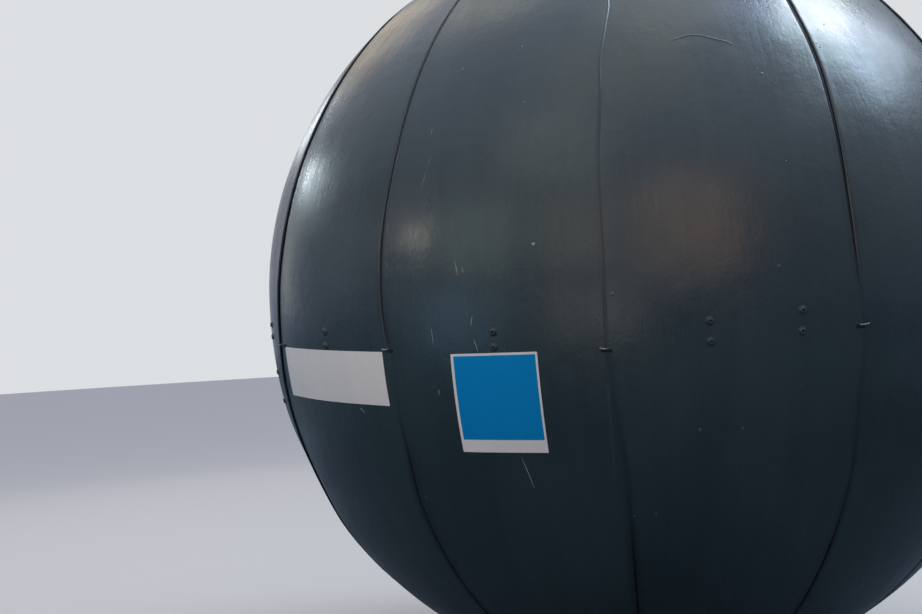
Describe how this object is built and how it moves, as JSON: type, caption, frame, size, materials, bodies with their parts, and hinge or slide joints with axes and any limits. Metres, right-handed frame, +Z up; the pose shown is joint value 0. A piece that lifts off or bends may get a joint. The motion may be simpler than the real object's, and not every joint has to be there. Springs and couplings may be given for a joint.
{
  "type": "spherical spacecraft crew capsule",
  "caption": "Spherical spacecraft crew capsule: dark painted meridian panels over ribs, seam clips, round hinged hatch with porthole at the back, hoist fitting on top and adapter ring below.",
  "frame": {"origin": "on the floor under the centre of the sphere, which is the middle of the adapter ring's underside", "axes": "+Z up along the capsule's axis, +Y towards the hatch, -Y the seam that faces the picture's camera"},
  "size_m": [1.4042, 1.4027, 1.5244],
  "materials": {
    "hull_paint": "semi-gloss",
    "frame_paint": "satin",
    "rib_primer": "matt",
    "deck_plate": "satin",
    "steel": "satin",
    "pane_glass": "clear",
    "seam_sealant": "matt",
    "sticker_white": "satin",
    "sticker_blue": "satin"
  },
  "bodies": {
    "hull": {"gore_panel_01": "hull_paint", "gore_panel_02": "hull_paint", "gore_panel_03": "hull_paint", "gore_panel_04": "hull_paint", "gore_panel_05": "hull_paint", "gore_panel_06": "hull_paint", "gore_panel_07": "hull_paint", "gore_panel_08": "hull_paint", "gore_panel_09": "hull_paint", "gore_panel_10": "hull_paint", "gore_panel_11": "hull_paint", "gore_panel_12": "hull_paint", "seam_rib_01": "rib_primer", "seam_rib_02": "rib_primer", "seam_rib_03": "rib_primer", "seam_rib_04": "rib_primer", "seam_rib_05": "rib_primer", "seam_rib_06": "rib_primer", "seam_rib_07_upper": "rib_primer", "seam_rib_07_lower": "rib_primer", "seam_rib_08": "rib_primer", "seam_rib_09": "rib_primer", "seam_rib_10": "rib_primer", "seam_rib_11": "rib_primer", "seam_rib_12": "rib_primer", "pole_cap_top": "hull_paint", "pole_cap_bottom": "hull_paint", "hoist_boss": "steel", "hoist_lug_1": "steel", "hoist_lug_2": "steel", "cabin_deck": "deck_plate", "rib_tie_ring": "rib_primer", "hatch_frame": "frame_paint", "hatch_hinge_pin": "steel", "adapter_skirt": "frame_paint", "adapter_flange": "steel"},
    "hatch": {"hatch_door": "hull_paint", "porthole_bezel": "steel", "porthole_pane": "pane_glass", "hatch_hinge_strap": "steel", "hatch_handle": "steel"}
  },
  "joints": [
    {"name": "hatch_hinge", "type": "hinge", "parent": "hull", "child": "hatch", "pos_m": [-0.276, 0.66, 0.74], "axis": [0, 0, 1], "range_deg": [0, 110]}
  ]
}
